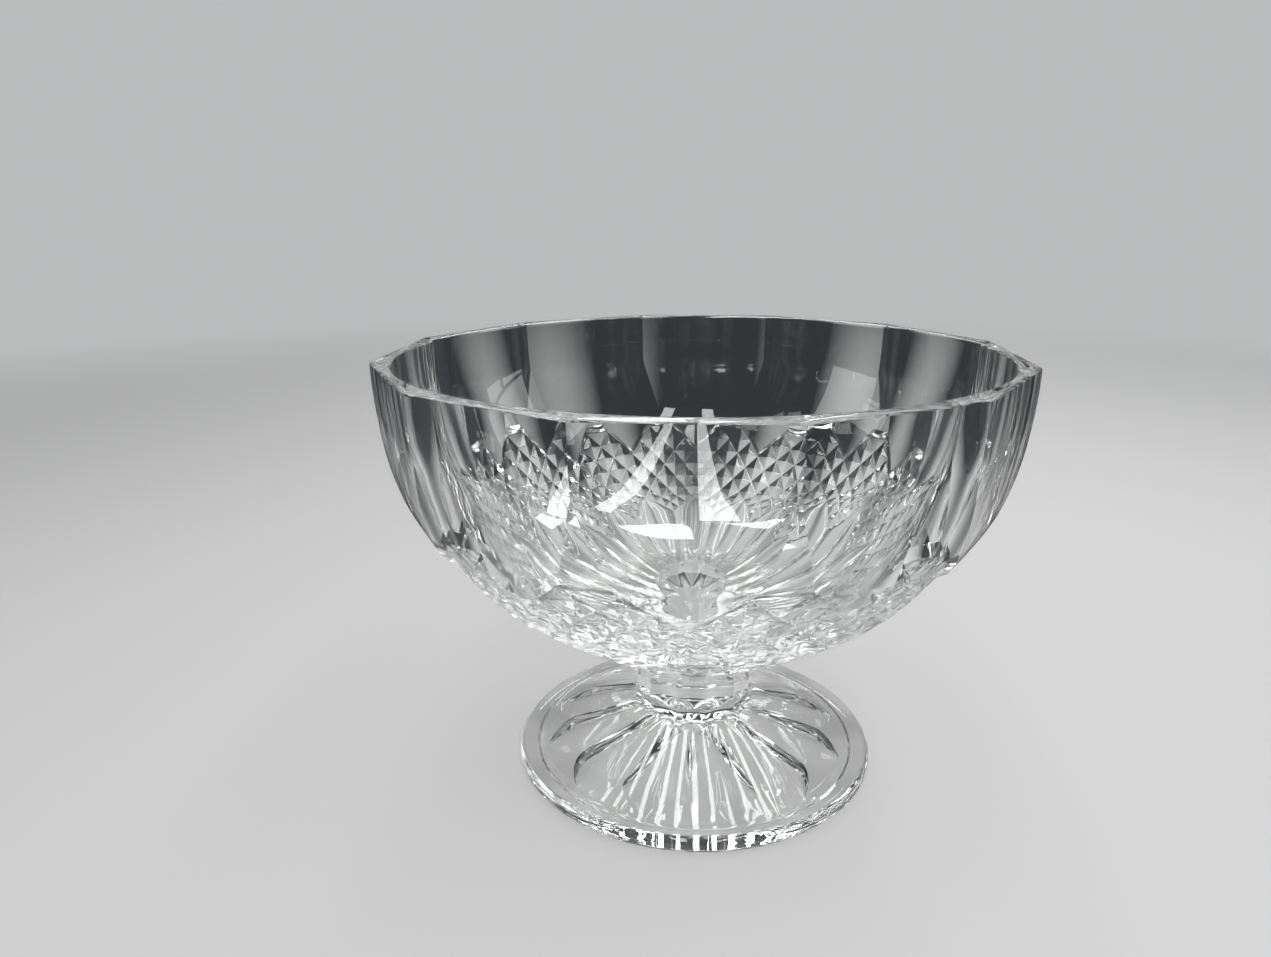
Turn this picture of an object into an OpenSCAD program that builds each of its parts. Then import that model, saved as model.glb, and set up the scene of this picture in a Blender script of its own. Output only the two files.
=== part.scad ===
// Footed trifle bowl in cut crystal.
// Twelve flat panels run down from a twelve-sided rim and end in points, with a
// field of cut lozenges below them. A twelve-sided collar joins the bowl to a
// round foot with twelve leaf-shaped cuts in its hollow underside.
// The origin is the middle of the underside, and a flat side of the rim faces -Y.

/* [Bowl] */
// Radius from the middle to a corner of the rim
rim_r = 110; // [100:1:125]
// Height of the bowl's outside, from the collar to the rim
bowl_h = 113.5; // [105:0.5:125]
// Radius of the bowl where it meets the collar
bowl_end_r = 22; // [20:0.5:24]
// Thickness of the wall at the middle of a rim side
lip_t = 3.3; // [3:0.1:5]
// Thickness of glass under the middle of the hollow
base_t = 20; // [16:0.5:26]
// Radius of the rounding on the edge of the rim
lip_round_r = 1.2; // [0.6:0.1:1.4]

/* [Cutting] */
// Depth of the top cuts under the round outline
cut_t = 2.4; // [1.6:0.1:2.8]
// Depth of each hollow lozenge at its middle, under its corners
lozenge_t = 1.2; // [0.8:0.1:1.6]
// Depth of the hollow flutes under the lozenges
flute_t = 1; // [0.4:0.1:1.4]
// Slope of the two sides of each leaf-shaped cut under the foot, near its tip
leaf_tip_a = 9; // [7:0.5:11]
// Slope of its two sides nearer the middle
leaf_root_a = 20; // [16:0.5:23]

/* [Collar] */
// Height of the collar
collar_h = 19; // [15:0.5:24]
// Radius of the collar to a corner
collar_r = 21.5; // [19:0.5:23]
// Radius of the ring at the collar's lower end, to a corner
ring_r = 23.5; // [23:0.5:25]
// Height of that ring
ring_h = 3; // [2:0.5:5]

/* [Foot] */
// Radius of the foot
foot_r = 67; // [62:1:76]
// Height of the foot, from the table to the collar
foot_h = 21.5; // [19:0.5:26]
// Radius of the rounded edge of the foot
edge_r = 3.1; // [2.7:0.1:3.4]
// Drop from the rounded edge to the foot's upper side
edge_step = 0.7; // [0.3:0.1:1]
// Width of the ring that the foot stands on
rest_w = 4.5; // [3.5:0.5:6]
// Height of that ring under the rest of the foot
rest_h = 2.2; // [1.2:0.1:2.6]
// Clear width between that ring and the tips of the leaf-shaped cuts
leaf_gap = 4; // [3:0.5:6]

/* [Hidden] */
glass = "lightcyan";
sides = 12;
turn = 360;
panel_a = turn / sides;
half_a = panel_a / 2;
full_fn = 96;

// Outline of the bowl's outside, as a cubic curve from the rim down.
// Each point is a radius and a depth below the rim.
rim_z = foot_h + collar_h + bowl_h;
swell_share = 0.516;
waist_r_share = 0.771;
waist_d_share = 0.703;
outside = [
    [rim_r, 0],
    [rim_r, bowl_h * swell_share],
    [rim_r * waist_r_share, bowl_h * waist_d_share],
    [bowl_end_r, bowl_h]
];

// Outline of the hollow, in the same way
hollow_r = rim_r * cos(half_a) - lip_t;
hollow_d = bowl_h - base_t;
hollow_swell_share = 0.335;
hollow_floor_share = 0.87;
inside = [
    [hollow_r, 0],
    [hollow_r, hollow_d * hollow_swell_share],
    [hollow_r * hollow_floor_share, hollow_d],
    [0, hollow_d]
];

// Grid of the cutting: six columns to a panel, column 0 at a corner of the rim
columns_per_panel = 6;
columns = sides * columns_per_panel;
column_a = turn / columns;
mid_column = columns_per_panel / 2;
// Row -1 is the top row of cuts, and row 8 is the lowest
first_row = -1;
last_row = 8;
panel_rows = 4;
spire_rows = 5;
flute_rows = 4;
top_row = first_row - spire_rows - panel_rows;
end_row = last_row + flute_rows;
spire_share = 0.129;
row_start_share = 0.429;
row_step_share = 0.0636;
row_bend_share = 0.00185;
narrow_share = 1 / spire_rows;
// The first row under the rim is where the rounding of the edge ends
lip_share = lip_round_r / (3 * bowl_h * swell_share);

function bezier(p, t) =
    p[0] * pow(1 - t, 3) + p[1] * (3 * t * pow(1 - t, 2))
    + p[2] * (3 * t * t * (1 - t)) + p[3] * pow(t, 3);
function slope(p, t) =
    (p[1] - p[0]) * pow(1 - t, 2) + (p[2] - p[1]) * (2 * t * (1 - t)) + (p[3] - p[2]) * (t * t);
function outward(p, t) = let (s = slope(p, t)) [s[1], s[0]] / norm(s);

// Share of the way down the outline at a row of cuts
function cut_share(row) = row_start_share + row_step_share * row - row_bend_share * row * row;
function row_share(row) =
    row == top_row + 1 ? lip_share :
    row <= top_row + panel_rows ? spire_share * (row - top_row) / panel_rows :
    row < first_row ? spire_share
        + (cut_share(first_row) - spire_share) * (row - top_row - panel_rows) / spire_rows :
    row <= last_row ? cut_share(row) :
    cut_share(last_row) + (1 - cut_share(last_row)) * (row - last_row) / flute_rows;

// Column counted from the nearest corner, and a row's width of the spire there
function from_corner(column) =
    let (c = column % columns_per_panel) min(c, columns_per_panel - c);
function spire_width(row) =
    max(0, min(1, (row - top_row - panel_rows) / spire_rows));

// Angle from the nearest corner
function corner_angle(c, row) =
    let (edge_a = column_a * max(spire_width(row), narrow_share))
    c == 0 ? 0 : edge_a + (half_a - edge_a) * (c - 1) / (mid_column - 1);
function column_angle(column, row) =
    let (corner = round(column / columns_per_panel), c = from_corner(column),
        side = column - corner * columns_per_panel)
    corner * panel_a + sign(side) * corner_angle(c, row);

function on_panel(c, row) = c > 0 && row < c + first_row - 1;
function on_flute(c, row) = row > last_row - c;
function is_crossing(c, row) = (c + row + columns) % 2 == 0;
// The corners of the lozenges climb to the round outline over a few rows
ease_row = 3.5;
ease_rows = 2.5;
function sunk(row) = max(0, min(1, (ease_row - row) / ease_rows));

// Height of the surface at a point of the grid, measured from the round outline
function panel_drop(c, row, r) =
    r * (cos(half_a - column_a * spire_width(row)) / cos(half_a - corner_angle(c, row)) - 1);
function flute_drop(c, row) =
    let (down = (row - last_row + c) / (flute_rows + c), across = c / mid_column)
    -flute_t * 16 * down * (1 - down) * across * (1 - across);
function drop(c, row, r) =
    row < first_row || on_panel(c, row) ? (c == 0 ? 0 : panel_drop(c, row, r)) :
    on_flute(c, row) ? flute_drop(c, row) :
    -cut_t * sunk(row) - (is_crossing(c, row) ? 0 : lozenge_t);

function skin_point(column, row) =
    let (t = row_share(row), p = bezier(outside, t), c = from_corner(column),
        flat = row < first_row || on_panel(c, row),
        d = drop(c, row, p[0]),
        way = flat ? [1, 0] : outward(outside, t),
        lip = row == top_row ? lip_round_r : 0,
        r = p[0] + d * way[0] - lip,
        a = column_angle(column, row) - half_a)
    [r * sin(a), -r * cos(a), rim_z - p[1] + d * way[1]];

skin_rows = [for (row = [top_row : end_row]) row];
skin_points = [for (row = skin_rows, column = [0 : columns - 1]) skin_point(column, row)];
function at(i, column) = i * columns + column % columns;
function skin_faces(i, column) =
    let (a = at(i, column), b = at(i, column + 1), c = at(i + 1, column + 1), d = at(i + 1, column))
    (column + skin_rows[i] + columns) % 2 == 0 ? [[a, b, c], [a, c, d]] : [[a, b, d], [b, c, d]];
skin_cap = [for (column = [0 : columns - 1]) columns - 1 - column];
skin_end = [for (column = [0 : columns - 1]) (len(skin_rows) - 1) * columns + column];

hollow_steps = 24;
hollow_line = [for (i = [0 : hollow_steps])
    let (p = bezier(inside, i / hollow_steps)) [p[0], rim_z - p[1]]];

module bowl() {
    color(glass) difference() {
        polyhedron(
            points = skin_points,
            faces = concat(
                [skin_cap], [skin_end],
                [for (i = [0 : len(skin_rows) - 2], column = [0 : columns - 1])
                    each skin_faces(i, column)]
            ),
            convexity = 10
        );
        rotate_extrude($fn = full_fn) polygon(concat(
            [[0, rim_z + lip_round_r], [hollow_r + lip_round_r, rim_z + lip_round_r],
             [hollow_r + lip_round_r, rim_z]],
            [for (p = hollow_line) p]
        ));
    }
}

module collar() {
    color(glass) rotate(half_a) {
        translate([0, 0, foot_h]) cylinder(r = collar_r, h = collar_h, $fn = sides);
        translate([0, 0, foot_h]) cylinder(r = ring_r, h = ring_h, $fn = sides);
    }
}

// Outline of the foot's upper side, as a cubic curve from the rounded edge to the
// collar. Each point is a radius and a height above the table.
flare_r = foot_r - 2 * edge_r;
flare_z = 2 * edge_r - edge_step;
flare_run = flare_r - ring_r;
flare_rise = foot_h - flare_z;
flare_low = [0.424, 0.406];
flare_high = [0.853, 0.756];
flare = [
    [flare_r, flare_z],
    [flare_r - flare_run * flare_low[0], flare_z + flare_rise * flare_low[1]],
    [flare_r - flare_run * flare_high[0], flare_z + flare_rise * flare_high[1]],
    [ring_r, foot_h]
];
edge_steps = 12;
flare_steps = 16;

// The underside is flat out to the tips of the leaf-shaped cuts, and inside them it is
// a wide hollow cone with a flat middle
rest_r = foot_r - edge_r - rest_w;
hub_share = 0.54;
hub_r = ring_r;
hub_z = foot_h * hub_share;

// The crease of a leaf-shaped cut starts just under the surface at its tip. It climbs
// to a bend, and from there to the middle, where all the creases meet.
leaf_start_z_share = 0.9;
leaf_bend_share = 0.71;
leaf_bend_z_share = 0.48;
leaf_middle_z_share = 0.72;
leaf_tip_r = rest_r - leaf_gap;
crease = [
    [leaf_tip_r, rest_h * leaf_start_z_share],
    [leaf_tip_r * leaf_bend_share, foot_h * leaf_bend_z_share],
    [0, foot_h * leaf_middle_z_share]
];
leaf_side_a = [leaf_tip_a, leaf_root_a];
leaf_half_w = leaf_tip_r * tan(half_a);

module leaf_cut() {
    for (i = [0 : len(crease) - 2]) {
        run = crease[i] - crease[i + 1];
        side_h = leaf_half_w * tan(leaf_side_a[i]);
        translate([crease[i + 1][0], 0, crease[i + 1][1]])
            rotate([0, -atan2(run[1], run[0]), 0]) rotate([turn / 4, 0, turn / 4])
            linear_extrude(norm(run)) polygon([
                [0, 0],
                [leaf_half_w, -side_h], [leaf_half_w, -side_h - foot_h],
                [-leaf_half_w, -side_h - foot_h], [-leaf_half_w, -side_h]
            ]);
    }
}

module foot() {
    color(glass) difference() {
        rotate_extrude($fn = full_fn) polygon(concat(
            [[0, hub_z], [hub_r, hub_z], [leaf_tip_r, rest_h], [rest_r, rest_h], [rest_r, 0]],
            [[foot_r - edge_r, 0]],
            [for (i = [1 : edge_steps]) let (a = turn / 2 * i / edge_steps)
                [foot_r - edge_r + edge_r * sin(a), edge_r - edge_r * cos(a)]],
            [for (i = [0 : flare_steps]) bezier(flare, i / flare_steps)],
            [[0, foot_h]]
        ));
        for (i = [0 : sides - 1]) rotate(i * panel_a + half_a) leaf_cut();
    }
}

bowl();
collar();
foot();
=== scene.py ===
"""Looks for the footed trifle bowl in cut crystal.

The bowl, the collar and the foot are one block of clear glass in the real
thing. Here each is its own closed piece. They meet on shared faces whose
finish bends no light, so they look like one block.

All lengths are in metres. An angle round the middle is in degrees, from -Y
towards +X. A share along an outline runs from 0 to 1.
"""
import math
import bmesh
import bpy
from mathutils import Matrix, Vector


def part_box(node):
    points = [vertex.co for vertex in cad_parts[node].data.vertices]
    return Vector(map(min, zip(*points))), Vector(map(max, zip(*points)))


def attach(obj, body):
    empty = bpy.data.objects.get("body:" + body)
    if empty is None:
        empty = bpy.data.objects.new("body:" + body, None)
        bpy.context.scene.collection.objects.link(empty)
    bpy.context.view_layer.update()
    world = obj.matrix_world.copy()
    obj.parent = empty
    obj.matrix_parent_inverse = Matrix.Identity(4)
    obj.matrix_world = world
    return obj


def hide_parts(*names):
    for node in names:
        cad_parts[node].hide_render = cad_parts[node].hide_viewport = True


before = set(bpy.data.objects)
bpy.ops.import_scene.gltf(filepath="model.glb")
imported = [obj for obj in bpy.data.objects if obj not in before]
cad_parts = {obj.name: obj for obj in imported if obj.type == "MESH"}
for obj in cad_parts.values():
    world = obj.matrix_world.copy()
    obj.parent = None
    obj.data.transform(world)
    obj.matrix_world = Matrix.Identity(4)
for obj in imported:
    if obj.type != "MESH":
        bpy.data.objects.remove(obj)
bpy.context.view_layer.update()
bowl_lo, bowl_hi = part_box("bowl")
collar_lo, collar_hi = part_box("collar")
foot_lo, foot_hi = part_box("foot")

GLASS, JOINT = 0, 1
TURN_A = 360
SIDES = 12
PANEL_A = TURN_A / SIDES
HALF_A = PANEL_A / 2
COLUMN_A = PANEL_A / 6
MID = 3
FLAT_RATIO = math.cos(math.radians(HALF_A))

RIM_Z = bowl_hi[2]
BOWL_END_Z = bowl_lo[2]
BOWL_H = RIM_Z - BOWL_END_Z
RIM_R = bowl_hi[0] / FLAT_RATIO
# Glass at the middle of a rim side and under the middle of the hollow
LIP_T = 0.03 * RIM_R
BASE_T = 0.182 * RIM_R
LIP_ROUND = 0.011 * RIM_R
# Depth of the top cuts, of a hollow lozenge and of a flute
CUT_T = 0.0218 * RIM_R
HOLLOW_CUT = 0.014 * RIM_R
FLUTE_T = 0.00637 * RIM_R
BOWL_END_R = 0.2 * RIM_R
COLLAR_END_Z = collar_lo[2]
RING_R = collar_hi[0] / FLAT_RATIO
COLLAR_R = 0.915 * RING_R
FOOT_R = foot_hi[0]
FOOT_H = foot_hi[2]
# Rounding of the edges between flat facets that meet at LEAST_BEND radians or more
EDGE_SOFT = 0.003 * RIM_R
SOFT_STEPS = 2
LEAST_BEND = 0.05


def clamp(x, low=0.0, high=1.0):
    return max(low, min(high, x))


def mix(a, b, share):
    return a + (b - a) * share


def bezier(p, t):
    weights = ((1 - t) ** 3, 3 * t * (1 - t) ** 2, 3 * t * t * (1 - t), t ** 3)
    return tuple(sum(w * q[i] for w, q in zip(weights, p)) for i in (0, 1))


def slope(p, t):
    weights = ((1 - t) ** 2, 2 * t * (1 - t), t * t)
    steps = [(p[i + 1][0] - p[i][0], p[i + 1][1] - p[i][1]) for i in range(3)]
    return tuple(sum(w * s[i] for w, s in zip(weights, steps)) for i in (0, 1))


def place(radius, angle, z):
    turn = math.radians(angle)
    return (radius * math.sin(turn), -radius * math.cos(turn), z)


# A shell gathers the points and faces of one piece. Faces of one group are
# smooth together, and a face of group 0 is a flat facet of its own.
FACET = 0
MERGE = 1e-7


def new_shell():
    return {"points": [], "known": {}, "faces": [], "groups": [], "marks": []}


def point_number(shell, point):
    key = tuple(round(x / MERGE) for x in point)
    if key not in shell["known"]:
        shell["known"][key] = len(shell["points"])
        shell["points"].append(point)
    return shell["known"][key]


def add_face(shell, corners, group=FACET, mark=GLASS):
    numbers = []
    for corner in corners:
        number = point_number(shell, corner)
        if number not in numbers:
            numbers.append(number)
    if len(numbers) > 2:
        shell["faces"].append(numbers)
        shell["groups"].append(group)
        shell["marks"].append(mark)


def add_grid(shell, rows, group, flip=False, mark=GLASS):
    for upper, lower in zip(rows, rows[1:]):
        for j in range(len(upper) - 1):
            corners = [upper[j], upper[j + 1], lower[j + 1], lower[j]]
            add_face(shell, corners[::-1] if flip else corners, group, mark)


def closed(row):
    return row + row[:1]


def add_fan(shell, ring, middle, group, flip=False, mark=GLASS):
    for a, b in zip(ring, ring[1:]):
        corners = [a, b, middle]
        add_face(shell, corners[::-1] if flip else corners, group, mark)


def signed_volume(points, faces):
    total = 0.0
    for face in faces:
        a = Vector(points[face[0]])
        for i in range(1, len(face) - 1):
            total += a.dot(Vector(points[face[i]]).cross(Vector(points[face[i + 1]])))
    return total


def mark_sharp(mesh, layer):
    """Marks the edges where faces of two groups meet."""
    groups = mesh.attributes[layer].data
    seen = {}
    for polygon in mesh.polygons:
        for key in polygon.edge_keys:
            seen.setdefault(key, set()).add(groups[polygon.index].value)
    for edge in mesh.edges:
        edge.use_edge_sharp = len(seen[edge.key]) > 1


def soften(mesh, width):
    """Rounds every edge between two flat facets, as polishing leaves it."""
    work = bmesh.new()
    work.from_mesh(mesh)
    group = work.faces.layers.int["group"]
    edges = []
    for edge in work.edges:
        kinds = [face[group] for face in edge.link_faces]
        if kinds == [FACET, FACET] and edge.calc_face_angle(0) > LEAST_BEND:
            edges.append(edge)
    made = bmesh.ops.bevel(
        work, geom=edges, offset=width, segments=SOFT_STEPS, profile=0.5,
        affect="EDGES", clamp_overlap=True,
    )
    for face in made["faces"]:
        face[group] = FACET
        face.smooth = False
    work.to_mesh(mesh)
    work.free()


def face_outward(mesh):
    """Turns every face of a closed mesh outwards."""
    work = bmesh.new()
    work.from_mesh(mesh)
    bmesh.ops.recalc_face_normals(work, faces=work.faces)
    work.to_mesh(mesh)
    work.free()


def make_piece(shell, name, node, materials, soft=0):
    faces = shell["faces"]
    if signed_volume(shell["points"], faces) < 0:
        faces = [face[::-1] for face in faces]
    mesh = bpy.data.meshes.new(name)
    mesh.from_pydata(shell["points"], [], faces)
    layer = mesh.attributes.new("group", "INT", "FACE")
    layer.data.foreach_set("value", shell["groups"])
    mesh.polygons.foreach_set("material_index", shell["marks"])
    smooth = [group != FACET for group in shell["groups"]]
    mesh.polygons.foreach_set("use_smooth", smooth)
    if soft:
        soften(mesh, soft)
    face_outward(mesh)
    mark_sharp(mesh, "group")
    for material in materials:
        mesh.materials.append(material)
    mesh.update()
    piece = bpy.data.objects.new(name, mesh)
    bpy.context.scene.collection.objects.link(piece)
    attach(piece, "root")
    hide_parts(node)
    return piece


# Outline of the bowl's outside and of its hollow: radius and depth under the rim
SWELL_D = 0.516 * BOWL_H
OUTSIDE = (
    (RIM_R, 0),
    (RIM_R, SWELL_D),
    (0.771 * RIM_R, 0.703 * BOWL_H),
    (BOWL_END_R, BOWL_H),
)
HOLLOW_R = RIM_R * FLAT_RATIO - LIP_T
HOLLOW_D = BOWL_H - BASE_T
INSIDE = (
    (HOLLOW_R, 0),
    (HOLLOW_R, 0.335 * HOLLOW_D),
    (0.87 * HOLLOW_R, HOLLOW_D),
    (0, HOLLOW_D),
)

# The cutting lies on a grid. Column 0 runs down from a corner of the rim and
# column 3 down the middle of a panel; rows run down the outline, from row -1.
TOP_ROW = -1
LAST_ROW = 8
ROW_START = 0.429
ROW_STEP = 0.0636
ROW_BEND = 0.00185
# The corners of the lozenges climb to the round outline by this row
EASE_ROW = 3.5
EASE_ROWS = 2.5
# Shares of the outline where the rounded edge ends and where a spire starts
LIP_SHARE = LIP_ROUND / (3 * SWELL_D)
SPIRE_SHARE = 0.129
# Rows from the end of a panel to the groove under it
V_EDGE = 0.5
TOP_STEPS = 6
PANEL_STEPS = 30
PANEL_COLUMNS = 12
HALF_COLUMNS = PANEL_COLUMNS // 2
SPIRE_COLUMNS = 4
FLUTE_STEPS = 16
FLUTE_COLUMNS = 18
# Half the width, in columns, of the smooth strip between two fans of flutes
STRIP_HALF = 0.14
STRIP_COLUMNS = 2
STRIP_START = 0.25
# Share of the outline from which the flutes draw in to the collar's flat sides
DRAW_IN = 0.9

# Groups of faces that are smooth together
PANEL_GROUP = 1
SPIRE_GROUP = 100
FLUTE_GROUP = 200
STRIP_GROUP = 300
LIP_GROUP = 400
HOLLOW_GROUP = 401
END_GROUP = 402


def row_share(row):
    return ROW_START + ROW_STEP * row - ROW_BEND * row * row


def skin(corner, side, column, share, lift=0.0, flat=None):
    """A point of the bowl's outside, lift above the round outline."""
    radius, depth = bezier(OUTSIDE, share)
    if flat is not None:
        radius *= flat
    run = slope(OUTSIDE, share)
    size = math.hypot(*run)
    radius += lift * run[1] / size
    depth -= lift * run[0] / size
    return place(radius, corner + side * column * COLUMN_A, RIM_Z - depth)


def node(corner, side, column, row):
    """A corner of the lozenges. The top rows are cut in under the round outline."""
    sunk = clamp((EASE_ROW - row) / EASE_ROWS)
    return skin(corner, side, column, row_share(row), -CUT_T * sunk)


def middle(corner, side, column, row):
    """Middle of a lozenge, level with its four corners."""
    around = [node(corner, side, column - 1, row), node(corner, side, column + 1, row)]
    if row > TOP_ROW:
        around.append(node(corner, side, column, row - 1))
        around.append(node(corner, side, column, row + 1))
    return tuple(sum(axis) / len(around) for axis in zip(*around))


def outward(corner, side, column, row):
    """The direction out of the glass, of length 1."""
    low = skin(corner, side, column, row_share(row))
    high = skin(corner, side, column, row_share(row), 1)
    return tuple(b - a for a, b in zip(low, high))


def between(a, b, share):
    return tuple(mix(x, y, share) for x, y in zip(a, b))


def spire_column(share):
    """Half the width of the spire at a share of the outline, in columns."""
    return clamp((share - SPIRE_SHARE) / (row_share(TOP_ROW) - SPIRE_SHARE))


def panel_point(corner, side, column, share):
    edge_a = HALF_A - COLUMN_A * spire_column(share)
    off_a = HALF_A - COLUMN_A * column
    flat = math.cos(math.radians(edge_a)) / math.cos(math.radians(off_a))
    return skin(corner, side, column, share, 0, flat)


def panel_left_shares():
    """Shares of the outline down the left edge of a panel."""
    low = row_share(TOP_ROW - V_EDGE)
    down = SPIRE_SHARE - LIP_SHARE
    shares = [LIP_SHARE + down * i / TOP_STEPS for i in range(TOP_STEPS)]
    steps = PANEL_STEPS - TOP_STEPS
    down = low - SPIRE_SHARE
    return shares + [SPIRE_SHARE + down * i / steps for i in range(steps + 1)]


def panel_grid(corner, side):
    rows = []
    low = row_share(1 - V_EDGE)
    for i, left in enumerate(panel_left_shares()):
        right = LIP_SHARE + (low - LIP_SHARE) * i / PANEL_STEPS
        row = []
        for j in range(PANEL_COLUMNS + 1):
            across = j / PANEL_COLUMNS
            column = mix(spire_column(left), MID, across)
            row.append(panel_point(corner, side, column, mix(left, right, across)))
        rows.append(row)
    return rows


def v_groove(corner, side):
    """Floor of the groove under the panel."""
    stops = [node(corner, side, column, column - 2) for column in (1, 2, 3)]
    half = HALF_COLUMNS
    first = [between(stops[0], stops[1], j / half) for j in range(half)]
    return first + [between(stops[1], stops[2], j / half) for j in range(half + 1)]


def spire_grid(corner, side):
    rows = []
    for share in panel_left_shares():
        width = spire_column(share)
        if width == 0:
            rows.append([panel_point(corner, side, 0, share)])
            continue
        columns = [width * c / SPIRE_COLUMNS for c in range(SPIRE_COLUMNS)]
        row = [skin(corner, side, column, share) for column in columns]
        rows.append(row + [panel_point(corner, side, width, share)])
    return rows


def spire_foot(corner, side):
    top = middle(corner, side, 0, TOP_ROW)
    low = node(corner, side, 1, TOP_ROW)
    return [between(top, low, c / SPIRE_COLUMNS) for c in range(SPIRE_COLUMNS + 1)]


def add_spire(shell, corner, side, flip):
    rows = spire_grid(corner, side)
    group = SPIRE_GROUP + round(corner / PANEL_A)
    for upper, lower in zip(rows, rows[1:]):
        if len(upper) == len(lower):
            add_grid(shell, [upper, lower], group, flip)
        else:
            add_fan(shell, lower[::-1], upper[0], group, flip)
    end = spire_foot(corner, side)
    for a, b, c, d in zip(rows[-1], rows[-1][1:], end[1:], end):
        corners = [a, b, c, d]
        add_face(shell, corners[::-1] if flip else corners)


def lozenge_part(shell, corner, side, flip, at, ends):
    """One of the four flat sides of a hollow lozenge, down to its middle."""
    core = middle(corner, side, *at)
    way = outward(corner, side, *at)
    first, last = (node(corner, side, *end) for end in ends)
    rows = []
    for i in range(HALF_COLUMNS + 1):
        out = i / HALF_COLUMNS
        row = []
        for j in range(i + 1):
            along = j / i if i else 0
            point = between(core, between(first, last, along), out)
            depth = -HOLLOW_CUT * (1 - out)
            row.append(tuple(x + depth * n for x, n in zip(point, way)))
        rows.append(row)
    for upper, lower in zip(rows, rows[1:]):
        for j in range(len(upper)):
            corners = [upper[j], lower[j], lower[j + 1]]
            add_face(shell, corners[::-1] if flip else corners)
            if j:
                corners = [upper[j - 1], lower[j], upper[j]]
                add_face(shell, corners[::-1] if flip else corners)


def add_top_facet(shell, corner, side, flip):
    """The flat facet between the foot of a spire and the first lozenges."""
    corners = spire_foot(corner, side)
    last = corners[-1]
    low = node(corner, side, 0, 0)
    for j in range(HALF_COLUMNS):
        corners.append(between(last, low, (j + 1) / HALF_COLUMNS))
    add_face(shell, corners[::-1] if flip else corners)


def add_lozenges(shell, corner, side, flip):
    """The lozenges between a corner's line and the middle of the panel beside it."""
    def quarter(at, *ends):
        lozenge_part(shell, corner, side, flip, at, ends)

    quarter((1, 0), (1, -1), (2, 0))
    quarter((2, 1), (2, 0), (3, 1))
    add_top_facet(shell, corner, side, flip)
    for column in range(MID):
        for row in range(column + TOP_ROW, LAST_ROW - column):
            a, b = (column, row), (column + 1, row)
            c, d = (column + 1, row + 1), (column, row + 1)
            whole = column + row + 2 <= LAST_ROW
            if (column + row) % 2 == 0:
                quarter(b, c, a)
                if whole:
                    quarter(d, a, c)
                continue
            if row > TOP_ROW:
                quarter(a, b, d)
            if whole:
                quarter(c, d, b)


def flute_line(corner, side, across):
    """Upper end of the flutes, a line through the lowest crossings."""
    place_on = across * MID
    first = min(int(place_on), MID - 1)
    a = node(corner, side, first, LAST_ROW - first)
    b = node(corner, side, first + 1, LAST_ROW - first - 1)
    return between(a, b, place_on - first)


def strip_width(down):
    return STRIP_HALF * clamp(down / STRIP_START)


def flute_point(corner, side, across, down):
    if down == 0:
        return flute_line(corner, side, across)
    start = row_share(LAST_ROW - across * MID)
    share = mix(start, 1, down)
    column = across * (MID - strip_width(down))
    hollow = 4 * across * (1 - across) * 4 * math.sqrt(down) * (1 - down)
    return end_point(corner, side, column, share, -FLUTE_T * hollow)


def end_point(corner, side, column, share, lift):
    """A point of the flutes, drawn in to the collar's twelve sides at the end."""
    near = clamp((share - DRAW_IN) / (1 - DRAW_IN))
    off = math.radians(HALF_A - column * COLUMN_A)
    flat = mix(1, FLAT_RATIO / math.cos(off), near)
    return skin(corner, side, column, share, lift, flat)


def strip_point(corner, side, across, down):
    if down == 0:
        return node(corner, side, MID, LAST_ROW - MID)
    start = row_share(LAST_ROW - MID)
    share = mix(start, 1, down)
    column = mix(MID - strip_width(down), MID, across)
    return end_point(corner, side, column, share, 0)


def add_flutes(shell, corner, side, flip):
    number = round(corner / PANEL_A) * 2 + (side > 0)
    panel = round((corner + side * HALF_A) / PANEL_A) % SIDES
    flutes = [j / FLUTE_COLUMNS for j in range(FLUTE_COLUMNS + 1)]
    strip = [j / STRIP_COLUMNS for j in range(STRIP_COLUMNS + 1)]
    rows = []
    strips = []
    for i in range(FLUTE_STEPS + 1):
        down = i / FLUTE_STEPS
        rows.append([flute_point(corner, side, across, down) for across in flutes])
        strips.append([strip_point(corner, side, across, down) for across in strip])
    add_grid(shell, rows, FLUTE_GROUP + number, flip)
    add_grid(shell, strips, STRIP_GROUP + panel, flip)
    return rows[-1][:-1] + strips[-1]


def add_outside(shell):
    """Adds the cut outside, and gives back the points of its two edges."""
    rim = []
    end = []
    for i in range(SIDES):
        corner = HALF_A + i * PANEL_A
        for side in (-1, 1):
            flip = side < 0
            panel = panel_grid(corner, side)
            group = PANEL_GROUP + (i if side < 0 else i + 1) % SIDES
            add_grid(shell, panel, group, flip)
            groove = v_groove(corner, side)
            for a, b, c, d in zip(panel[-1], panel[-1][1:], groove[1:], groove):
                corners = [a, b, c, d]
                add_face(shell, corners[::-1] if flip else corners)
            add_spire(shell, corner, side, flip)
            add_lozenges(shell, corner, side, flip)
            last = add_flutes(shell, corner, side, flip)
            top = panel[0]
            if flip:
                rim += top[::-1][:-1]
                end += last[::-1][:-1]
            else:
                rim += top[:-1]
                end += last[:-1]
    return rim, end


def angle_of(point):
    return math.degrees(math.atan2(point[0], -point[1]))


def shifted(row, grow, drop):
    moved = []
    for point in row:
        radius = math.hypot(point[0], point[1])
        moved.append(place(radius + grow, angle_of(point), point[2] + drop))
    return moved


def ring_at(angles, radius, z):
    return [place(radius, angle, z) for angle in angles]


LIP_STEPS = 6
HOLLOW_STEPS = 90
# Share of the hollow's outline where the rounded edge ends, by its slope there
RIM_SLOPE = 1.06
HOLLOW_START = LIP_ROUND / HOLLOW_D / RIM_SLOPE


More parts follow.
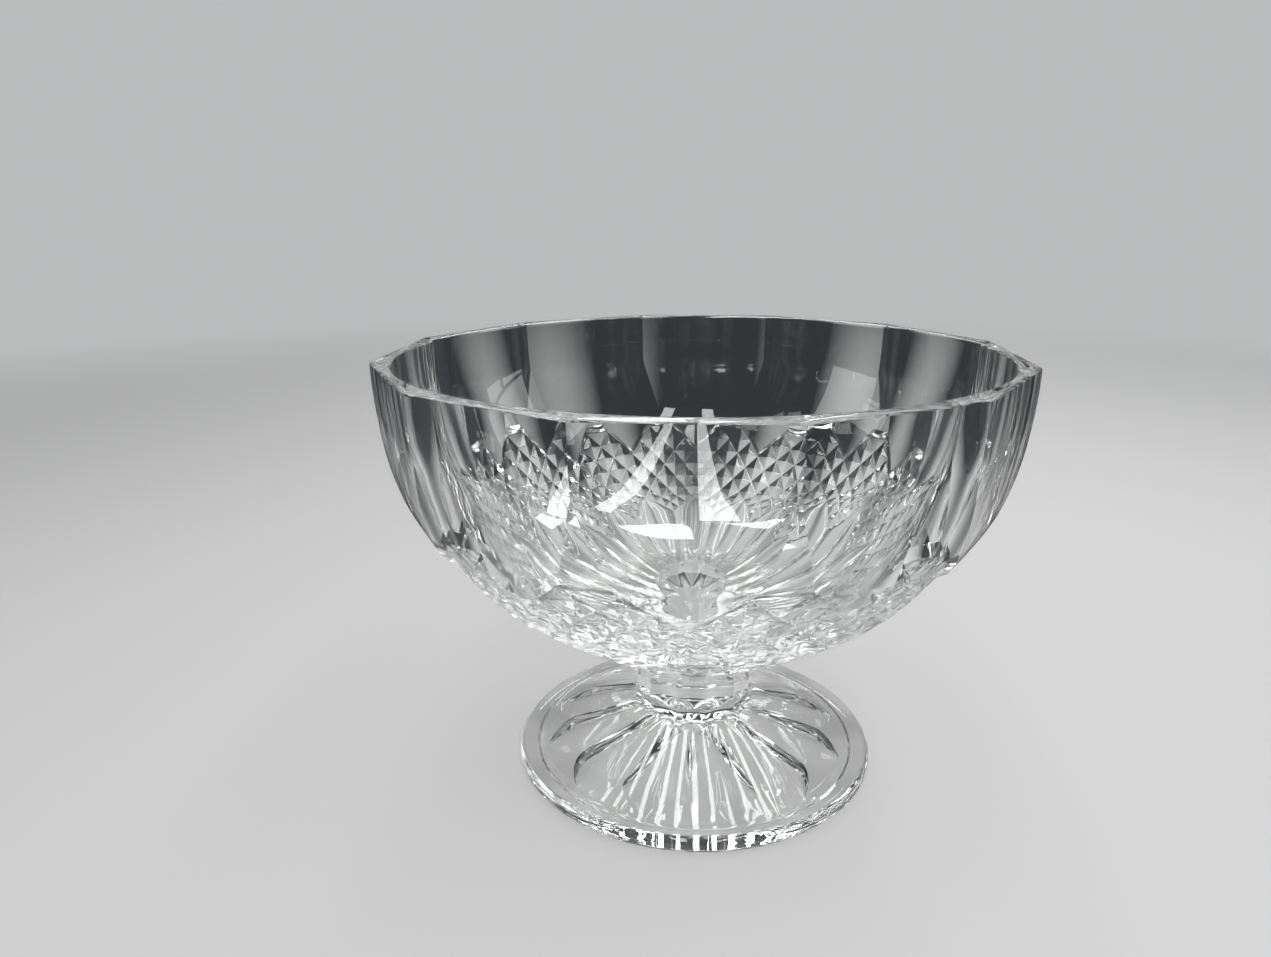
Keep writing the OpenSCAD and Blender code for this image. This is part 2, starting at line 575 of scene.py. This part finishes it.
def add_lip(shell, rim):
    """The fire-polished edge, rounded outside and inside."""
    angles = [angle_of(point) for point in rim]
    low = RIM_Z - rim[0][2]
    rows = [rim]
    for i in range(1, LIP_STEPS + 1):
        turn = math.pi / 2 * i / LIP_STEPS
        inwards = LIP_ROUND * (1 - math.cos(turn))
        rows.append(shifted(rim, -inwards, low * math.sin(turn)))
    for i in range(LIP_STEPS + 1):
        turn = math.pi / 2 * (1 - i / LIP_STEPS)
        radius = HOLLOW_R + LIP_ROUND * (1 - math.cos(turn))
        rows.append(ring_at(angles, radius, RIM_Z - LIP_ROUND * (1 - math.sin(turn))))
    add_grid(shell, [closed(row) for row in rows], LIP_GROUP, True)
    return rows[-1]


def add_hollow(shell, edge):
    angles = [angle_of(point) for point in edge]
    rows = [edge]
    for i in range(HOLLOW_STEPS):
        share = mix(HOLLOW_START, 1, (i + 1) / (HOLLOW_STEPS + 1))
        radius, depth = bezier(INSIDE, share)
        rows.append(ring_at(angles, radius, RIM_Z - depth))
    add_grid(shell, [closed(row) for row in rows], HOLLOW_GROUP, True)
    add_fan(shell, closed(rows[-1]), (0, 0, RIM_Z - HOLLOW_D), HOLLOW_GROUP, True)


def make_bowl(materials):
    shell = new_shell()
    rim, end = add_outside(shell)
    edge = add_lip(shell, rim)
    add_hollow(shell, edge)
    add_fan(shell, closed(end), (0, 0, BOWL_END_Z), END_GROUP, False, JOINT)
    make_piece(shell, "bowl_glass", "bowl", materials, EDGE_SOFT)
    return end


# The collar has twelve slightly hollow sides and spreads into the foot
COLLAR_STEPS = 24
COLLAR_HOLLOW = 0.012
COLLAR_SPREAD = 0.22
COLLAR_SIDE_GROUP = 1
COLLAR_END_GROUP = 50


def collar_radius(z):
    up = (z - COLLAR_END_Z) / (BOWL_END_Z - COLLAR_END_Z)
    low = clamp(1 - up / COLLAR_SPREAD)
    return COLLAR_R + (RING_R - COLLAR_R) * low * low


def collar_row(angles, z):
    row = []
    for angle in angles:
        off = ((angle - HALF_A) % PANEL_A) - HALF_A
        flat = FLAT_RATIO / math.cos(math.radians(off))
        hollow = 1 - COLLAR_HOLLOW * (1 - (off / HALF_A) ** 2)
        row.append(place(collar_radius(z) * flat * hollow, angle, z))
    return row


def make_collar(end, materials):
    shell = new_shell()
    angles = [angle_of(point) for point in end]
    rows = [end]
    for i in range(1, COLLAR_STEPS + 1):
        z = mix(BOWL_END_Z, COLLAR_END_Z, i / COLLAR_STEPS)
        rows.append(collar_row(angles, z))
    grid = [closed(row) for row in rows]
    to_middle = TURN_A / len(end) / 4  # keeps a corner's own angle off the rounding
    for j, angle in enumerate(angles):
        side = round(((angle + to_middle) % TURN_A) / PANEL_A) % SIDES
        add_grid(shell, [row[j:j + 2] for row in grid], COLLAR_SIDE_GROUP + side, True)
    top = (0, 0, BOWL_END_Z)
    low = (0, 0, COLLAR_END_Z)
    add_fan(shell, grid[0], top, COLLAR_END_GROUP, True, JOINT)
    add_fan(shell, grid[-1], low, COLLAR_END_GROUP, False, JOINT)
    make_piece(shell, "collar_glass", "collar", materials)
    return rows[-1]


# The foot: smooth and flaring above, with twelve leaf-shaped cuts in its underside.
# EDGE_R is the radius of its rounded edge, and the bowl stands on a ring REST_W wide.
EDGE_R = 0.0282 * RIM_R
EDGE_DROP = 0.0064 * RIM_R
REST_W = 0.041 * RIM_R
REST_H = 0.02 * RIM_R
LEAF_TIP_R = 0.505 * RIM_R
LEAF_WIDE_R = 0.405 * RIM_R
LEAF_BEND = 1.8
UNDER_SLOPE = 0.29
FLARE_R = FOOT_R - 2 * EDGE_R
FLARE_Z = 2 * EDGE_R - EDGE_DROP
FLARE = (
    (FLARE_R, FLARE_Z),
    (mix(FLARE_R, RING_R, 0.424), mix(FLARE_Z, FOOT_H, 0.406)),
    (mix(FLARE_R, RING_R, 0.853), mix(FLARE_Z, FOOT_H, 0.756)),
    (RING_R, FOOT_H),
)
CREASE = (
    (LEAF_TIP_R, REST_H),
    (0.40 * RIM_R, 0.095 * RIM_R),
    (0.27 * RIM_R, 0.13 * RIM_R),
    (0, 0.14 * RIM_R),
)
FLARE_STEPS = 36
FLARE_JOIN = 0.9
EDGE_STEPS = 20
LEAF_STEPS = 60
LEAF_COLUMNS = 24
LEAF_REACH = 0.94
HALVINGS = 30
FOOT_TOP_GROUP = 1
REST_GROUP = 2
LEAF_GROUP = 10
UNDER_GROUP = 60
CORE_GROUP = 61
FOOT_JOIN_GROUP = 70


def crease_z(radius):
    """Height of the deepest line of a leaf, found by halving."""
    low, high = 0.0, 1.0
    for _ in range(HALVINGS):
        t = (low + high) / 2
        if bezier(CREASE, t)[0] > radius:
            low = t
        else:
            high = t
    return bezier(CREASE, low)[1]


def under_z(radius):
    """Height of the underside between the leaves."""
    return REST_H + UNDER_SLOPE * max(0, LEAF_TIP_R - radius)


def leaf_half_angle(radius):
    """Half the width of a leaf, which narrows to its tip."""
    to_tip = (radius - LEAF_WIDE_R) / (LEAF_TIP_R - LEAF_WIDE_R)
    return HALF_A * (1 - clamp(to_tip) ** LEAF_BEND)


def leaf_z(radius, off):
    """Height of the underside, off degrees from the middle of a leaf."""
    half = leaf_half_angle(radius)
    ridge = min(under_z(radius), crease_z(radius))
    if abs(off) >= half:
        return ridge
    return mix(crease_z(radius), ridge, (off / half) ** 2)


def leaf_point(corner, side, radius, off):
    return place(radius, corner + side * off, leaf_z(radius, off))


def half_leaf_rows(corner, side):
    """Two grids of half a leaf: inside its outline, and outside it."""
    inner, outer = [], []
    for i in range(LEAF_STEPS + 1):
        radius = LEAF_TIP_R * (1 - i / LEAF_STEPS * LEAF_REACH)
        half = leaf_half_angle(radius)
        shares = [j / LEAF_COLUMNS for j in range(LEAF_COLUMNS + 1)]
        inner.append([leaf_point(corner, side, radius, half * share) for share in shares])
        offs = [mix(half, HALF_A, share) for share in shares]
        outer.append([leaf_point(corner, side, radius, off) for off in offs])
    return inner, outer


def add_leaves(shell):
    ring = []
    core = []
    for i in range(SIDES):
        corner = HALF_A + i * PANEL_A
        for side in (-1, 1):
            flip = side > 0
            inner, outer = half_leaf_rows(corner, side)
            add_grid(shell, inner, LEAF_GROUP + 2 * i + (side > 0), flip)
            add_grid(shell, outer, UNDER_GROUP, flip)
            edge = outer[0]
            last = inner[-1]
            if side < 0:
                ring += edge[::-1][:-1]
                core += last[::-1][:-1]
            else:
                ring += edge[:-1]
                core += last[:-1]
    add_fan(shell, closed(core), (0, 0, crease_z(0)), CORE_GROUP, True)
    return ring


def foot_top_rows(angles, join):
    """Rings down the upper side, from the collar's end, which isn't quite round."""
    rows = [join]
    shapes = [math.hypot(point[0], point[1]) / RING_R for point in join]
    for i in range(FLARE_STEPS):
        t = 1 - (i + 1) / FLARE_STEPS
        radius, z = bezier(FLARE, t)
        near = clamp((t - FLARE_JOIN) / (1 - FLARE_JOIN))
        row = []
        for angle, shape in zip(angles, shapes):
            row.append(place(radius * mix(1, shape, near), angle, z))
        rows.append(row)
    return rows


def edge_row(angles, turn):
    radius = FOOT_R - EDGE_R + EDGE_R * math.sin(turn)
    return ring_at(angles, radius, EDGE_R - EDGE_R * math.cos(turn))


# Turn of the stipples' wave in each degree round the ring, and across the ring
STIPPLE_TURN = 3.2
STIPPLE_STEP = 26.4
STIPPLE_H = 0.00025 * RIM_R
REST_STEPS = 12
# The rounded step inside the ring, as shares of its height: inwards and up
REST_STEP = ((0.1, 0.5), (0.3, 0.9), (0.6, 1))


def rest_row(angles, share):
    """The bearing ring, with small stipples pressed into it."""
    radius = mix(FOOT_R - EDGE_R, FOOT_R - EDGE_R - REST_W, share)
    row = []
    for angle in angles:
        wave = 0.5 + 0.5 * math.sin(angle * STIPPLE_TURN + share * STIPPLE_STEP)
        fade = math.sin(math.pi * share)
        row.append(place(radius, angle, STIPPLE_H * wave * fade))
    return row


def under_rows(angles, edge):
    """Rings over the bearing ring and up the step inside it."""
    rows = [edge]
    for i in range(1, REST_STEPS + 1):
        rows.append(rest_row(angles, i / REST_STEPS))
    step_r = FOOT_R - EDGE_R - REST_W
    for inwards, up in REST_STEP:
        rows.append(ring_at(angles, step_r - inwards * REST_H, up * REST_H))
    return rows


def make_foot(join, materials):
    shell = new_shell()
    angles = [angle_of(point) for point in join]
    rows = foot_top_rows(angles, join)
    for i in range(EDGE_STEPS + 1):
        rows.append(edge_row(angles, math.pi * (1 - i / EDGE_STEPS)))
    grid = [closed(row) for row in rows]
    add_grid(shell, grid, FOOT_TOP_GROUP, True)
    add_fan(shell, grid[0], (0, 0, FOOT_H), FOOT_JOIN_GROUP, True, JOINT)
    under = under_rows(angles, rows[-1])
    add_grid(shell, [closed(row) for row in under], REST_GROUP, True)
    leaf_ring = add_leaves(shell)
    bridge_rings(shell, under[-1], leaf_ring)
    make_piece(shell, "foot_glass", "foot", materials)


def turn_of(point):
    return angle_of(point) % TURN_A


def bridge_rings(shell, outer, inner):
    """Joins two flat rings with different numbers of points."""
    outer = closed(sorted(outer, key=turn_of))
    inner = closed(sorted(inner, key=turn_of))
    outer_turns = [turn_of(point) for point in outer[:-1]] + [TURN_A + turn_of(outer[0])]
    inner_turns = [turn_of(point) for point in inner[:-1]] + [TURN_A + turn_of(inner[0])]
    i = j = 0
    while i < len(outer) - 1 or j < len(inner) - 1:
        outer_left = i < len(outer) - 1
        inner_left = j < len(inner) - 1
        if not inner_left or (outer_left and outer_turns[i + 1] <= inner_turns[j + 1]):
            add_face(shell, [inner[j], outer[i + 1], outer[i]], UNDER_GROUP)
            i += 1
        else:
            add_face(shell, [inner[j], inner[j + 1], outer[i]], UNDER_GROUP)
            j += 1


CRYSTAL_TINT = (0.985, 1.0, 0.992, 1)
CRYSTAL_BEND = 1.53
CRYSTAL_SHADE = 0.93


def glass_material():
    """Clear glass that lets most of the lamps' light through to the floor."""
    material = bpy.data.materials.new("crystal")
    material.use_nodes = True
    tree = material.node_tree
    shader = tree.nodes["Principled BSDF"]
    shader.inputs["Base Color"].default_value = CRYSTAL_TINT
    shader.inputs["Roughness"].default_value = 0.0
    shader.inputs["IOR"].default_value = CRYSTAL_BEND
    shader.inputs["Transmission Weight"].default_value = 1.0
    lamp_ray = tree.nodes.new("ShaderNodeLightPath")
    passing = tree.nodes.new("ShaderNodeBsdfTransparent")
    passing.inputs["Color"].default_value = (CRYSTAL_SHADE, CRYSTAL_SHADE, CRYSTAL_SHADE, 1)
    blend = tree.nodes.new("ShaderNodeMixShader")
    tree.links.new(lamp_ray.outputs["Is Shadow Ray"], blend.inputs["Fac"])
    tree.links.new(shader.outputs["BSDF"], blend.inputs[1])
    tree.links.new(passing.outputs["BSDF"], blend.inputs[2])
    tree.links.new(blend.outputs["Shader"], tree.nodes["Material Output"].inputs["Surface"])
    return material


def joint_material():
    """The shared face of two pieces, which nothing bends or shades."""
    material = bpy.data.materials.new("fused_joint")
    material.use_nodes = True
    tree = material.node_tree
    tree.nodes.clear()
    passing = tree.nodes.new("ShaderNodeBsdfTransparent")
    output = tree.nodes.new("ShaderNodeOutputMaterial")
    tree.links.new(passing.outputs["BSDF"], output.inputs["Surface"])
    return material


FLOOR_TONE = (0.60, 0.60, 0.597, 1)
PALE_TONE = (0.50, 0.503, 0.508, 1)
DIM_TONE = (0.035, 0.036, 0.04, 1)
FLOOR_HALF = 90 * RIM_R
FLOOR_GAP = 0.0018 * RIM_R
# Where the floor starts and ends its fade into the backdrop's tone: for the camera, and
# through the glass, where the floor is painted dim
SEEN_FADE = (3 * RIM_R, 14 * RIM_R)
BENT_FADE = (0.3 * RIM_R, 4.6 * RIM_R)
# Soft spokes of painted shade on the floor, which only bent light shows
SHADE_SPOKES = 9
SHADE_SPOKE_DEPTH = 0.5
SHADE_SPOKE_FADE = (0.15 * RIM_R, 1.2 * RIM_R)


def math_node(tree, operation, first, second=None):
    made = tree.nodes.new("ShaderNodeMath")
    made.operation = operation
    for socket, value in zip(made.inputs, (first, second)):
        if value is None:
            continue
        if hasattr(value, "node"):
            tree.links.new(value, socket)
        else:
            socket.default_value = value
    return made.outputs[0]


def camera_ray(tree):
    return tree.nodes.new("ShaderNodeLightPath").outputs["Is Camera Ray"]


def add_backdrop_tone(tree):
    """Pale for the camera, and dim in what the glass bends and reflects."""
    tone = tree.nodes.new("ShaderNodeMix")
    tone.data_type = "RGBA"
    colour = {socket.identifier: socket for socket in tone.inputs}
    colour["A_Color"].default_value = DIM_TONE
    colour["B_Color"].default_value = PALE_TONE
    tree.links.new(camera_ray(tree), colour["Factor_Float"])
    return tone.outputs["Result"]


def add_fade(tree, reach, span):
    """Climbs from 0 to 1 over a span of distances from the middle."""
    fade = tree.nodes.new("ShaderNodeMapRange")
    fade.interpolation_type = "SMOOTHSTEP"
    fade.inputs["From Min"].default_value = span[0]
    fade.inputs["From Max"].default_value = span[1]
    tree.links.new(reach, fade.inputs["Value"])
    return fade.outputs["Result"]


# Dark sectors of painted shade on the floor near the bowl, seen only through the glass
def add_shade_spokes(tree, coord, reach):
    split = tree.nodes.new("ShaderNodeSeparateXYZ")
    tree.links.new(coord, split.inputs[0])
    turn = math_node(tree, "ARCTAN2", split.outputs["Y"], split.outputs["X"])
    wave = math_node(tree, "SINE", math_node(tree, "MULTIPLY", turn, SHADE_SPOKES))
    deep = math_node(tree, "MULTIPLY", wave, SHADE_SPOKE_DEPTH)
    return math_node(tree, "MULTIPLY", deep, add_fade(tree, reach, SHADE_SPOKE_FADE))


def add_floor_share(tree):
    """Share of the backdrop's tone in the floor, by the distance and by the ray."""
    coord = tree.nodes.new("ShaderNodeTexCoord").outputs["Object"]
    length = tree.nodes.new("ShaderNodeVectorMath")
    length.operation = "LENGTH"
    tree.links.new(coord, length.inputs[0])
    reach = length.outputs["Value"]
    seen = add_fade(tree, reach, SEEN_FADE)
    # Through the glass the floor fades into a painted dim shade
    bent = add_fade(tree, reach, BENT_FADE)
    bent = math_node(tree, "ADD", bent, add_shade_spokes(tree, coord, reach))
    bent = math_node(tree, "MINIMUM", math_node(tree, "MAXIMUM", bent, 0), 1)
    step = math_node(tree, "SUBTRACT", seen, bent)
    change = math_node(tree, "MULTIPLY", step, camera_ray(tree))
    return math_node(tree, "ADD", bent, change)


def floor_material():
    """Pale and matt, and fading into the even backdrop at a distance."""
    material = bpy.data.materials.new("pale_floor")
    material.use_nodes = True
    tree = material.node_tree
    tree.nodes.clear()
    matt = tree.nodes.new("ShaderNodeBsdfDiffuse")
    matt.inputs["Color"].default_value = FLOOR_TONE
    even = tree.nodes.new("ShaderNodeEmission")
    tree.links.new(add_backdrop_tone(tree), even.inputs["Color"])
    blend = tree.nodes.new("ShaderNodeMixShader")
    output = tree.nodes.new("ShaderNodeOutputMaterial")
    tree.links.new(add_floor_share(tree), blend.inputs["Fac"])
    tree.links.new(matt.outputs["BSDF"], blend.inputs[1])
    tree.links.new(even.outputs["Emission"], blend.inputs[2])
    tree.links.new(blend.outputs["Shader"], output.inputs["Surface"])
    return material


def make_floor():
    mesh = bpy.data.meshes.new("floor")
    ends = (-FLOOR_HALF, FLOOR_HALF)
    corners = [(ends[i], ends[j], 0) for i, j in ((0, 0), (1, 0), (1, 1), (0, 1))]
    mesh.from_pydata(corners, [], [(0, 1, 2, 3)])
    mesh.materials.append(floor_material())
    floor = bpy.data.objects.new("floor", mesh)
    floor.location.z = -FLOOR_GAP
    bpy.context.scene.collection.objects.link(floor)


# The camera, fitted to the corners of the rim and of the foot in the photograph
CAM_DISTANCE = 2.888 * RIM_R
CAM_Z = 1.841 * RIM_R
CAM_PITCH = math.radians(16.607)
CAM_YAW = math.radians(-3.919)
CAM_ROLL = math.radians(-0.416)
CAM_TURN = math.radians(1.467)
# Focal length and width of the photograph, in its pixels
CAM_FOCUS = 918.5
PHOTO_WIDTH = 1271
SENSOR = 36


def make_camera():
    data = bpy.data.cameras.new("camera")
    data.sensor_width = SENSOR
    data.lens = CAM_FOCUS * SENSOR / PHOTO_WIDTH
    data.clip_start = 0.01
    camera = bpy.data.objects.new("camera", data)
    bpy.context.scene.collection.objects.link(camera)
    bpy.context.scene.camera = camera
    ahead = Vector((
        math.sin(CAM_YAW) * math.cos(CAM_PITCH),
        math.cos(CAM_YAW) * math.cos(CAM_PITCH),
        -math.sin(CAM_PITCH),
    ))
    right = Vector((math.cos(CAM_YAW), -math.sin(CAM_YAW), 0))
    up = right.cross(ahead)
    across = right * math.cos(CAM_ROLL) + up * math.sin(CAM_ROLL)
    over = up * math.cos(CAM_ROLL) - right * math.sin(CAM_ROLL)
    place_at = Vector((0, -CAM_DISTANCE, CAM_Z))
    matrix = Matrix((
        (across.x, over.x, -ahead.x, place_at.x),
        (across.y, over.y, -ahead.y, place_at.y),
        (across.z, over.z, -ahead.z, place_at.z),
        (0, 0, 0, 1),
    ))
    camera.matrix_world = Matrix.Rotation(CAM_TURN, 4, "Z") @ matrix


LAMP_AIM = (0, 0, 0.08)
STRIP_SIZE = (0.13, 2.60)
STRIP_POWER = 10
STRIP_Z = 1.05
STRIP_LEFT_X = -0.10
STRIP_RIGHT_X = 0.37
SIDE_SIZE = (0.50, 0.50)
SIDE_POWER = 3


def make_lamp(name, spot, size, power, aim):
    data = bpy.data.lights.new(name, "AREA")
    data.shape = "RECTANGLE"
    data.size = size[0]
    data.size_y = size[1]
    data.energy = power * size[0] * size[1] * math.pi
    lamp = bpy.data.objects.new(name, data)
    lamp.location = spot
    way = Vector(aim) - Vector(spot)
    lamp.rotation_euler = way.to_track_quat("-Z", "Y").to_euler()
    bpy.context.scene.collection.objects.link(lamp)


def make_strip(name, x):
    make_lamp(name, (x, 0, STRIP_Z), STRIP_SIZE, STRIP_POWER, (x, 0, 0))


def make_lights():
    """Two long strips overhead, as in the photograph, and a soft lamp at each side."""
    make_strip("strip_left", STRIP_LEFT_X)
    make_strip("strip_right", STRIP_RIGHT_X)
    make_lamp("side_left", (-1.10, -0.30, 0.55), SIDE_SIZE, SIDE_POWER, LAMP_AIM)
    make_lamp("side_right", (1.20, 0.20, 0.50), SIDE_SIZE, SIDE_POWER, LAMP_AIM)


def make_world():
    """Dim, so that the cut facets have contrast, but pale to the camera."""
    world = bpy.data.worlds.new("studio")
    bpy.context.scene.world = world
    world.use_nodes = True
    tree = world.node_tree
    tree.links.new(add_backdrop_tone(tree), tree.nodes["Background"].inputs["Color"])


def set_light_paths():
    """Enough bounces for light to pass every wall of the glass."""
    cycles = bpy.context.scene.cycles
    cycles.max_bounces = 32
    cycles.transmission_bounces = 32
    cycles.glossy_bounces = 16
    cycles.transparent_max_bounces = 32
    cycles.caustics_refractive = False
    cycles.caustics_reflective = False


bpy.context.scene.view_settings.view_transform = "Standard"
set_light_paths()
make_camera()
materials = [glass_material(), joint_material()]
end_of_bowl = make_bowl(materials)
end_of_collar = make_collar(end_of_bowl, materials)
make_foot(end_of_collar, materials)
make_floor()
make_lights()
make_world()
